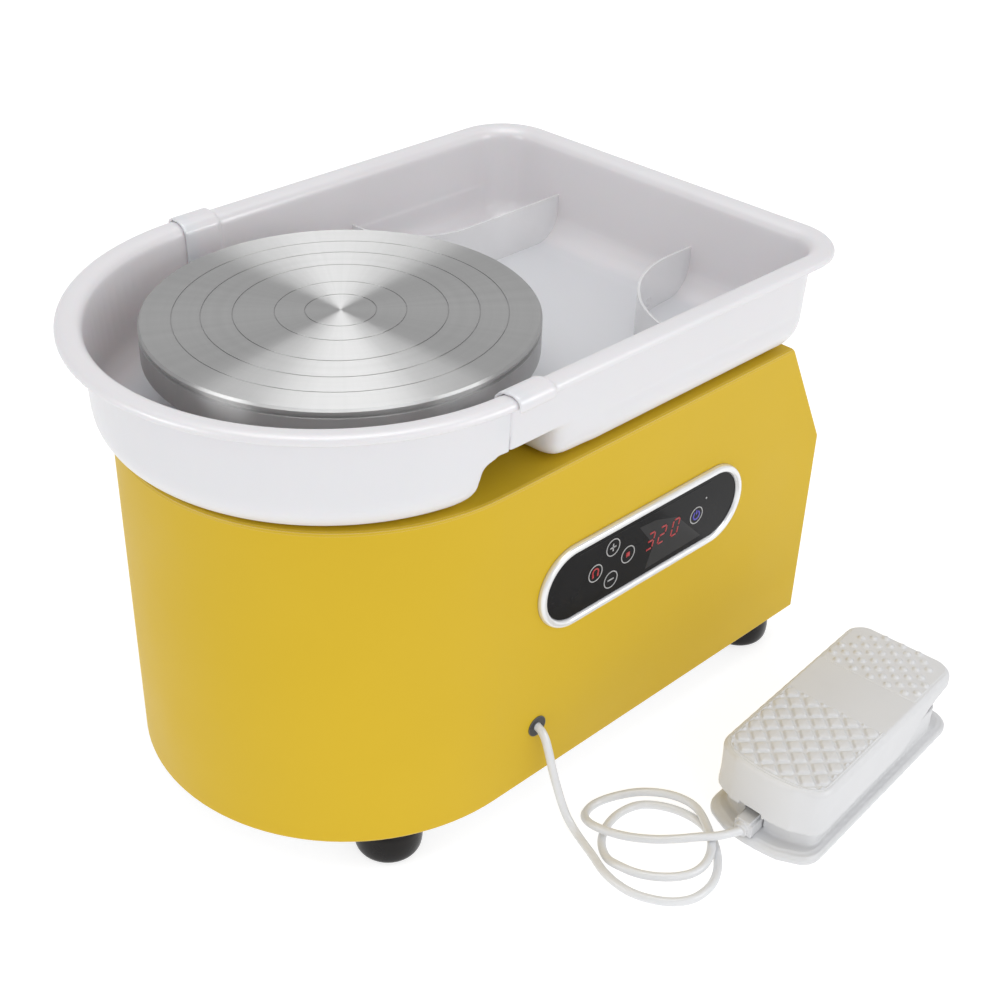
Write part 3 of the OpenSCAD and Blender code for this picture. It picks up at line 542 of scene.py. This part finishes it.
def make_bezel():
    """Raised ring round the glass, with a half-oval section that is a little square at its shoulders."""
    turns = [math.pi * k / BEZEL_STEPS for k in range(BEZEL_STEPS + 1)]
    section = [(BEZEL_MIDDLE + BEZEL_HALF * math.copysign(abs(math.cos(t)) ** 0.8, math.cos(t)),
                BEZEL_PROUD * math.sin(t) ** 0.75) for t in turns]
    rim = stadium(END_STEPS)
    points = [at(WALL_X + h, c[0] + r * n[0], c[1] + r * n[1]) for c, n in rim for r, h in section]
    width, count = len(section), len(rim)
    faces = [(i * width + j, (i + 1) % count * width + j, (i + 1) % count * width + (j + 1) % width,
              i * width + (j + 1) % width) for i in range(count) for j in range(width)]
    add_piece("bezel_ring", build_mesh("bezel_ring", points, faces), "machine", "bezel_silver",
              stands_for=["control_bezel"])


MARK_PROUD = 0.25


def ribbon(points, faces, line, width, closed=False):
    """Adds a flat raised line on the panel glass along (y, z) points."""
    line = [np.array(p, float) for p in line]
    count, start = len(line), len(points)
    for i, place in enumerate(line):
        before = line[i - 1] if closed or i else line[0]
        after = line[(i + 1) % count] if closed or i < count - 1 else line[-1]
        way = (after - before) / np.linalg.norm(after - before)
        across = np.array((-way[1], way[0])) * width / 2
        for side in (-1, 1):
            for lift in (0, MARK_PROUD):
                y, z = place + side * across
                points.append(at(GLASS_X + lift, y, z))
    spans = count if closed else count - 1
    for i in range(spans):
        a, b = start + 4 * i, start + 4 * ((i + 1) % count)
        faces += [(a + 1, a + 3, b + 3, b + 1), (a, b, b + 2, a + 2), (a, a + 1, b + 1, b),
                  (a + 2, b + 2, b + 3, a + 3)]
    if not closed:
        last = start + 4 * (count - 1)
        faces += [(start, start + 2, start + 3, start + 1), (last, last + 1, last + 3, last + 2)]


def ring_line(y, z, radius, start=0, sweep=360, steps=40):
    """Points (y, z) round a circle, or along an arc of it in degrees."""
    return [(y + radius * math.cos(math.radians(start + sweep * k / steps)),
             z + radius * math.sin(math.radians(start + sweep * k / steps)))
            for k in range(steps if sweep == 360 else steps + 1)]


# Middles (y, z) of the keys and of the small lamp.
PLUS, MINUS, TURN_KEY, STOP_KEY, POWER_KEY = ((112, 210.8), (111.8, 182.2), (94.3, 196.2),
                                              (129.3, 196.6), (207.2, 196.3))
LAMP = (217.5, 207.7)
LAMP_RADIUS = 0.4
KEY_RADIUS = 7.0
KEY_LINE = 0.8
SIGN_REACH = 3.2
SIGN_LINE = 1.1
TURN_RADIUS, TURN_LINE = 3, 1.3
TURN_LEG_LINE = 1.8
STOP_HALF = 1.9
POWER_RADIUS, POWER_LINE = 3.5, 1.2


def make_marks():
    """Generic key marks: plus, minus, turning direction, stop and power."""
    points, faces = [], []
    for y, z in (PLUS, MINUS, TURN_KEY, STOP_KEY, POWER_KEY):
        ribbon(points, faces, ring_line(y, z, KEY_RADIUS), KEY_LINE, closed=True)
    for y, z in (PLUS, MINUS):
        ribbon(points, faces, [(y - SIGN_REACH, z), (y + SIGN_REACH, z)], SIGN_LINE)
    y, z = PLUS
    ribbon(points, faces, [(y, z - SIGN_REACH), (y, z + SIGN_REACH)], SIGN_LINE)
    ribbon(points, faces, ring_line(*LAMP, LAMP_RADIUS, steps=12), 2 * LAMP_RADIUS, closed=True)
    add_piece("marks_white", build_mesh("marks_white", points, faces), "machine", "panel_glass",
              MARK_WHITE)
    points, faces = [], []
    y, z = TURN_KEY
    ribbon(points, faces, ring_line(y, z + 0.8, TURN_RADIUS, start=-30, sweep=240), TURN_LINE)
    for leg in (y - 2.6, y + 2.6):
        ribbon(points, faces, [(leg, z - 0.8), (leg, z - 3.4)], TURN_LEG_LINE)
    y, z = STOP_KEY
    ribbon(points, faces, [(y - STOP_HALF, z), (y + STOP_HALF, z)], 2 * STOP_HALF)
    add_piece("marks_red", build_mesh("marks_red", points, faces), "machine", "panel_glass", MARK_RED)
    points, faces = [], []
    y, z = POWER_KEY
    ribbon(points, faces, ring_line(y, z, POWER_RADIUS, start=120, sweep=300), POWER_LINE)
    ribbon(points, faces, [(y, z + 1.2), (y, z + 4.6)], POWER_LINE)
    add_piece("marks_blue", build_mesh("marks_blue", points, faces), "machine", "panel_glass", MARK_BLUE)


# Outline (y, z) of the lighter pane that paints a reflection on the glass, how far its back and front
# stand off the glass, and the ends of the step that carries a painted highlight line.
REFLECTION_OUTLINE = [(140.4, 215), (159, 213.6), (184, 205.4), (215, 174.4), (150.4, 173), (158, 192)]
REFLECTION_BACK, REFLECTION_FRONT = 0.02, 0.1
GLASS_STEP_HIGHLIGHT = [(76, 220.8), (222, 220.8)]
GLASS_STEP_HIGHLIGHT_LINE = 0.4


def make_painted_reflection():
    """Painted reflection and highlight: a lighter pane behind the digits, and a lighter line on the fine
    step along the upper edge of the glass.
    """
    points = [at(GLASS_X + lift, y, z) for lift in (REFLECTION_BACK, REFLECTION_FRONT) for y, z in REFLECTION_OUTLINE]
    count = len(REFLECTION_OUTLINE)
    faces = [tuple(range(count, 2 * count)), tuple(range(count))]
    faces += [(k, (k + 1) % count, count + (k + 1) % count, count + k) for k in range(count)]
    # Painted highlight along the step at the glass's upper edge.
    ribbon(points, faces, GLASS_STEP_HIGHLIGHT, GLASS_STEP_HIGHLIGHT_LINE)
    reflection_pane = add_piece("painted_reflection_pane", build_mesh("painted_reflection_pane", points, faces), "machine", "panel_glass",
                     PAINTED_REFLECTION_GLASS)
    for face in reflection_pane.data.polygons:
        face.use_smooth = False


DIGIT_Z = 196.9
DIGIT_HEIGHT = 13.5
DIGIT_WIDTH = 7.0
DIGIT_SLANT = 0.22
DIGIT_LINE = 1.4
DIGIT_GAP = 0.12
SEGMENTS = {"top": ((0, 2), (1, 2)), "middle": ((0, 1), (1, 1)), "bottom": ((0, 0), (1, 0)),
            "low_left": ((0, 0), (0, 1)), "low_right": ((1, 0), (1, 1)),
            "high_left": ((0, 1), (0, 2)), "high_right": ((1, 1), (1, 2))}
# Lit segments of each digit, by the place of its middle.
LIT = {154.3: ("top", "middle", "bottom", "low_right", "high_right"),
       167.4: ("top", "middle", "bottom", "low_left", "high_right"),
       182.4: ("top", "bottom", "low_left", "low_right", "high_left", "high_right")}


def make_digits():
    """Three slanted seven-segment digits."""
    points, faces = [], []
    for middle, lit in LIT.items():
        for name in lit:
            ends = []
            for column, row in SEGMENTS[name]:
                rise = (row - 1) * DIGIT_HEIGHT / 2
                ends.append(np.array((middle + (column - 0.5) * DIGIT_WIDTH + DIGIT_SLANT * rise,
                                      DIGIT_Z + rise)))
            inset = (ends[1] - ends[0]) * DIGIT_GAP
            ribbon(points, faces, [ends[0] + inset, ends[1] - inset], DIGIT_LINE)
    add_piece("digits", build_mesh("digits", points, faces), "machine", "panel_glass", MARK_RED)


make_bezel()
make_marks()
make_painted_reflection()
make_digits()


# ---------------------------------------------------------------- foot pedal
PAD_STEP = 0.6
PAD_SINK = 0.02
PAD_SKIRT = 0.4


def rounding(s, half_width, corner):
    """How far a corner of the given radius pulls an end in, at s across from -1 to 1."""
    past = max(0, (abs(s) - 1) * half_width / corner + 1)
    return corner * (1 - math.sqrt(max(0, 1 - past ** 2)))


def pad(name, half_width, v0, v1, sag, corners, height, node):
    """Thin grip pad on the treadle, height(u, v, rim) high, with rounded corners and a bowed end.

    It runs from v0 to v1 along the pedal; rim is how far a point is from the edge, all in millimetres.
    """
    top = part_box(node)[0].z / MM - PAD_SINK
    columns = int(2 * half_width / PAD_STEP)
    rows = int((v1 - v0) / PAD_STEP)
    points, faces = [], []
    for j in range(rows + 1):
        for i in range(columns + 1):
            s, t = 2 * i / columns - 1, j / rows
            u = s * half_width
            low = v0 + sag * s * s + rounding(s, half_width, corners[0])
            high = v1 - rounding(s, half_width, corners[1])
            v = low + (high - low) * t
            rim = min(half_width - abs(u), v - low, high - v)
            points.append(on_pedal(u, v, top + height(u, v, rim)))
    width = columns + 1
    faces += [(j * width + i, j * width + i + 1, (j + 1) * width + i + 1, (j + 1) * width + i)
              for j in range(rows) for i in range(columns)]
    edge = (list(range(width)) + [j * width + columns for j in range(1, rows + 1)]
            + [rows * width + i for i in range(columns - 1, -1, -1)]
            + [j * width for j in range(rows - 1, 0, -1)])
    base = len(points)
    for index in edge:
        foot = points[index].copy()
        foot.z = (top - PAD_SKIRT) * MM
        points.append(foot)
    count = len(edge)
    faces += [(edge[k], edge[(k + 1) % count], base + (k + 1) % count, base + k) for k in range(count)]
    faces.append(tuple(base + k for k in range(count)))
    add_piece(name, build_mesh(name, points, faces), "treadle_body", "pedal_white", stands_for=[node])


LATTICE_PITCH = 12.2
LATTICE_CENTRE_V = -52
PILLOW_HEIGHT = 2.0
PILLOW_FOOT, PILLOW_TOP = 5.4, 4.1
DOME_REACH, DOME_FALL = 5.0, 0.35
LATTICE_MARGIN = (1.5, 2.8)
LATTICE_FILM = 0.1
BORDER_HEIGHT, BORDER_INSET, BORDER_SPREAD = 0.7, 0.9, 0.55


def lattice(u, v, rim):
    """Raised pillows at 45 degrees inside a thin raised border."""
    a = (u + v - LATTICE_CENTRE_V) / math.sqrt(2) / LATTICE_PITCH
    b = (u - v + LATTICE_CENTRE_V) / math.sqrt(2) / LATTICE_PITCH
    da, db = abs(a - round(a)) * LATTICE_PITCH, abs(b - round(b)) * LATTICE_PITCH
    reach = (da ** 6 + db ** 6) ** (1 / 6)
    dome = PILLOW_HEIGHT * (1 - DOME_FALL * (reach / DOME_REACH) ** 2)
    pillow = (dome * float(smooth_step(reach, PILLOW_FOOT, PILLOW_TOP))
              * float(smooth_step(rim, *LATTICE_MARGIN)))
    border = BORDER_HEIGHT * math.exp(-((rim - BORDER_INSET) / BORDER_SPREAD) ** 2)
    return LATTICE_FILM * float(smooth_step(rim, 0, 0.3)) + pillow + border


STUD_PITCH = 14.8
STUD_ROW = 6.4
FIRST_STUD_V = 41.5
STUD_HEIGHT = 1.8
STUD_FOOT, STUD_TOP = 3.5, 1.4
FIELD_HEIGHT = 0.35
STUDS_ACROSS = (5, 6, 5, 6, 5, 4, 5, 4, 3)
STUDS = [((c - (across - 1) / 2) * STUD_PITCH, FIRST_STUD_V + STUD_ROW * r)
         for r, across in enumerate(STUDS_ACROSS) for c in range(across)]


def studded(u, v, rim):
    """Round studs with softly domed tops on a slightly raised field."""
    reach = min(math.hypot(u - su, v - sv) for su, sv in STUDS)
    field = FIELD_HEIGHT * float(smooth_step(rim, 0, 0.8))
    return field + STUD_HEIGHT * float(smooth_step(reach, STUD_FOOT, STUD_TOP))


def near_heel_wall(points):
    """1 on the bowed wall at the treadle's heel, away from its upper and lower edges."""
    along = (points[:, 0] - PEDAL.x) * ALONG_V.x + (points[:, 1] - PEDAL.y) * ALONG_V.y
    z = points[:, 2] / MM
    return smooth_step(along / MM, -84, -94) * smooth_step(z, 32, 40) * smooth_step(z, 66, 58)


skin("treadle_shell", ["treadle"], "treadle_body", voxel=0.0010, rounds=4,
     soften=near_heel_wall, soften_rounds=120)
skin("pedal_tray", ["pedal_base"], "machine", voxel=0.0011, rounds=4)
skin("cord_boot", ["strain_relief"], "machine", voxel=0.0005, rounds=5)
pad("heel_pad", half_width=41.2, v0=-107.5, v1=-11, sag=7, corners=(12, 1.5), height=lattice,
    node="heel_grip")
pad("toe_pad", half_width=41, v0=36.5, v1=96, sag=0, corners=(1.5, 12), height=studded,
    node="toe_grip")


# ---------------------------------------------------------------- floor and light
FLOOR_HALF = 25
FLOOR_GLOW = 0.74
HORIZON_LIGHT, ZENITH_LIGHT = 0.84, 0.78


def make_floor():
    """Pale floor that glows a little, so that it shows white with only a faint shadow."""
    corners = [(x * FLOOR_HALF, y * FLOOR_HALF, 0) for x, y in ((-1, -1), (1, -1), (1, 1), (-1, 1))]
    mesh = build_mesh("floor", corners, [(0, 1, 2, 3)])
    floor = bpy.data.objects.new("floor", mesh)
    bpy.context.scene.collection.objects.link(floor)
    mesh.materials.append(moulded("floor_paper", (0.45, 0.45, 0.45), 0.9, tint=0.004, grain=300.0,
                                  depth=0.00001, scuffs=0.0,
                                  Emission_Color=(1, 1, 1, 1), Emission_Strength=FLOOR_GLOW))


def make_sky():
    """Even white light from all round, a little weaker overhead than at the horizon."""
    world = bpy.data.worlds.new("studio")
    bpy.context.scene.world = world
    world.use_nodes = True
    nodes, links = world.node_tree.nodes, world.node_tree.links
    way = nodes.new("ShaderNodeTexCoord")
    split = nodes.new("ShaderNodeSeparateXYZ")
    rise = nodes.new("ShaderNodeMapRange")
    rise.inputs["To Min"].default_value = HORIZON_LIGHT
    rise.inputs["To Max"].default_value = ZENITH_LIGHT
    links.new(way.outputs["Generated"], split.inputs[0])
    links.new(split.outputs["Z"], rise.inputs["Value"])
    links.new(rise.outputs["Result"], nodes["Background"].inputs["Strength"])
    nodes["Background"].inputs["Color"].default_value = (1, 1, 1, 1)


def make_light(name, place, aim, size, power, seen_by="all"):
    """Round softbox; seen_by keeps it to matt surfaces or to mirror reflections alone."""
    lamp = bpy.data.lights.new(name, "AREA")
    lamp.shape = "DISK"
    lamp.size = size
    lamp.energy = power
    thing = bpy.data.objects.new(name, lamp)
    bpy.context.scene.collection.objects.link(thing)
    thing.location = place
    thing.rotation_mode = "QUATERNION"
    thing.rotation_quaternion = (Vector(aim) - Vector(place)).to_track_quat("-Z", "Y")
    thing.visible_diffuse = seen_by != "mirror"
    thing.visible_glossy = seen_by != "matt"


MACHINE_MIDDLE = at(0, 100, 200)
HEAD_TOP = at(0, 0, 340)
make_floor()
make_sky()
make_light("key", at(1750, -350, 950), MACHINE_MIDDLE, size=1.0, power=3.8)
make_light("top", at(100, -150, 1900), MACHINE_MIDDLE, size=1.2, power=5, seen_by="matt")
make_light("head_softbox", at(0, 0, 1900), HEAD_TOP, size=1.5, power=22, seen_by="mirror")
make_light("left_strip", at(-376, -1555, 900), HEAD_TOP, size=0.9, power=16, seen_by="mirror")
make_light("right_strip", at(1433, 711, 900), HEAD_TOP, size=0.9, power=16, seen_by="mirror")
